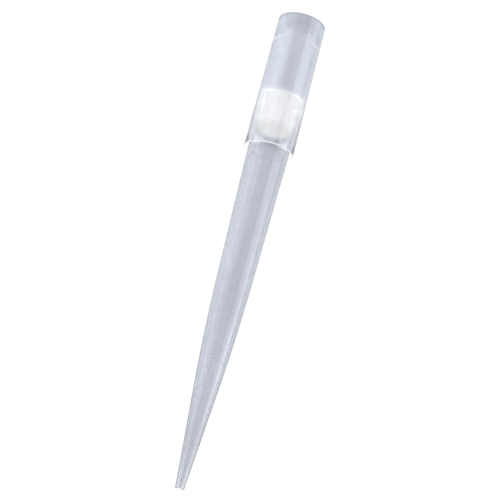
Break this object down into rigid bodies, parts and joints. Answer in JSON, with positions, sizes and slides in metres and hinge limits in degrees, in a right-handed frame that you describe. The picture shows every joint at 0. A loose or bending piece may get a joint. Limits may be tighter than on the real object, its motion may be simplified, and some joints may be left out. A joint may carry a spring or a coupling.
{
  "type": "filter pipette tip",
  "caption": "Tapered plastic pipette tip with a wide socket for a pipettor, an overhanging skirt, a white porous filter plug inside and a fine orifice.",
  "frame": {"origin": "centre of the flat rim face that it stands on", "axes": "+Z along the tip's axis, from the rim face up to the orifice; X and Y are free, because the tip is a body of revolution"},
  "size_m": [0.0088, 0.0088, 0.0876],
  "materials": {
    "polypropylene": "natural translucent polypropylene, smooth moulded, slightly milky",
    "porous_polyethylene": "white sintered porous polyethylene, matt, fine grained"
  },
  "bodies": {
    "root": {"tip_body": "polypropylene", "filter_plug": "porous_polyethylene"}
  },
  "joints": []
}
